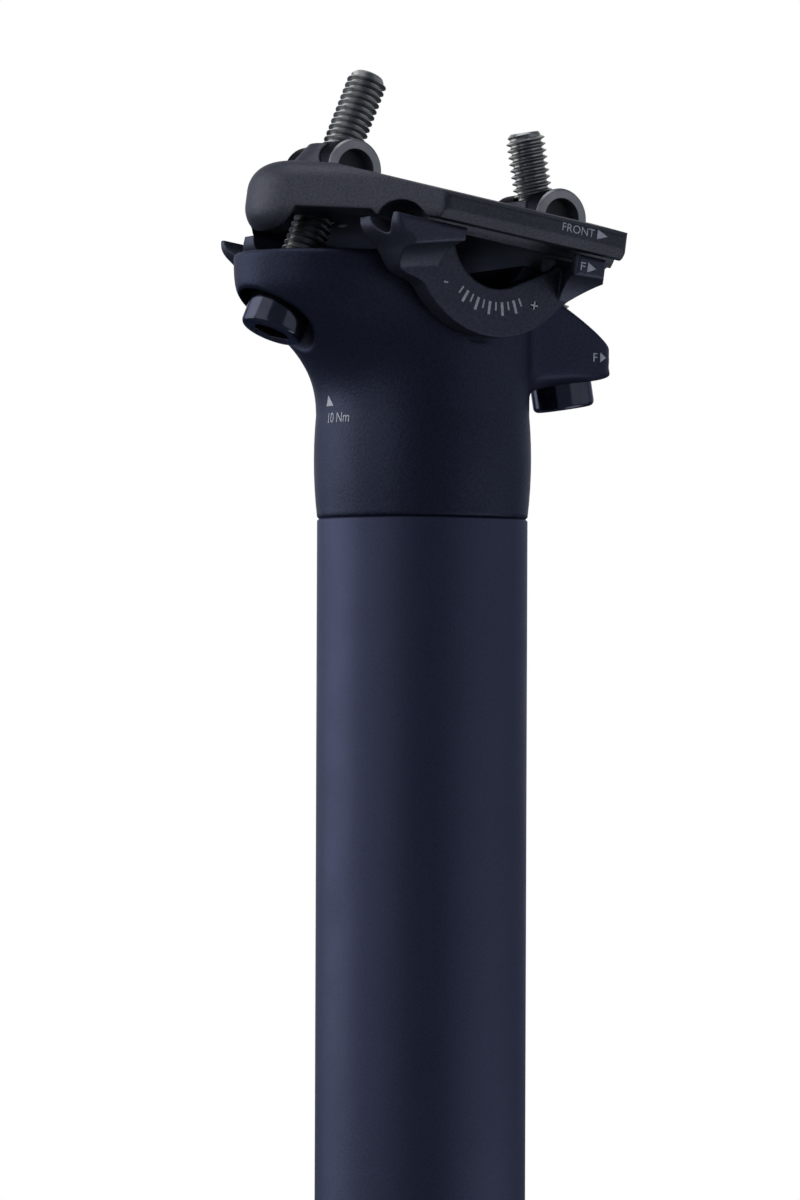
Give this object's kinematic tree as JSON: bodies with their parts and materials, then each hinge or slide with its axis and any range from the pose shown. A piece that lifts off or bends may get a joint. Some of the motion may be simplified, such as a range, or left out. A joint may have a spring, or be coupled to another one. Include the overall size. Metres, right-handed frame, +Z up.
{
  "type": "bicycle seatpost",
  "caption": "Straight bicycle seatpost whose forged head carries a two-bolt saddle rail clamp that tilts on a round seat.",
  "frame": {"origin": "centre of the tube's foot", "axes": "+Z up along the post, +X forward on the bicycle, +Y to the rider's left"},
  "size_m": [0.0623, 0.056, 0.4259],
  "materials": {
    "black_anodised": "satin black, fine blasted and anodised",
    "machined_nut": "turned, grey",
    "black_steel": "black oxide"
  },
  "bodies": {
    "post": {"post_tube": "black_anodised", "head": "black_anodised"},
    "lower_clamp": {"lower_clamp": "black_anodised"},
    "upper_clamp": {"upper_clamp": "black_anodised"},
    "rear_nut": {"rear_nut": "machined_nut"},
    "front_nut": {"front_nut": "machined_nut"},
    "rear_washer": {"rear_washer": "black_steel"},
    "front_washer": {"front_washer": "black_steel"},
    "rear_screw": {"rear_screw": "black_steel"},
    "front_screw": {"front_screw": "black_steel"}
  },
  "joints": [
    {"name": "saddle_tilt", "type": "hinge", "parent": "post", "child": "lower_clamp", "pos_m": [0.0011, 0, 0.4], "axis": [0, 1, 0], "range_deg": [-3, 12]},
    {"name": "clamp_lift", "type": "slide", "parent": "lower_clamp", "child": "upper_clamp", "axis": [0.3939, 0, 0.9191], "range_m": [0, 0.002]},
    {"name": "rear_nut_turn", "type": "hinge", "parent": "upper_clamp", "child": "rear_nut", "pos_m": [-0.01582, 0, 0.41022], "axis": [0, 1, 0], "range_deg": [-10.9, 2.75]},
    {"name": "front_nut_turn", "type": "hinge", "parent": "upper_clamp", "child": "front_nut", "pos_m": [0.02021, 0, 0.40503], "axis": [0, 1, 0], "range_deg": [-12.5, 3.2]},
    {"name": "rear_screw_swing", "type": "hinge", "parent": "post", "child": "rear_washer", "pos_m": [-0.02781, 0, 0.38223], "axis": [0, 1, 0], "range_deg": [-0.4, 1.6]},
    {"name": "rear_screw_turn", "type": "hinge", "parent": "rear_washer", "child": "rear_screw", "pos_m": [-0.01582, 0, 0.41022], "axis": [-0.3939, 0, -0.9191], "range_deg": [0, 745]},
    {"name": "front_screw_swing", "type": "hinge", "parent": "post", "child": "front_washer", "pos_m": [0.02594, 0, 0.37253], "axis": [0, 1, 0], "range_deg": [0, 2]},
    {"name": "front_screw_turn", "type": "hinge", "parent": "front_washer", "child": "front_screw", "pos_m": [0.02021, 0, 0.40503], "axis": [0.1736, 0, -0.9848], "range_deg": [0, 625]}
  ],
  "couplings": [
    {"joint": "rear_screw_turn", "follows": "clamp_lift", "rad_per_m": 6283.2},
    {"joint": "front_screw_turn", "follows": "clamp_lift", "rad_per_m": 5257.5},
    {"joint": "front_screw_swing", "follows": "clamp_lift", "rad_per_m": 16.593},
    {"joint": "rear_screw_swing", "follows": "saddle_tilt", "ratio": 0.127},
    {"joint": "rear_nut_turn", "follows": "saddle_tilt", "ratio": -0.873},
    {"joint": "front_nut_turn", "follows": "saddle_tilt", "ratio": -1}
  ]
}
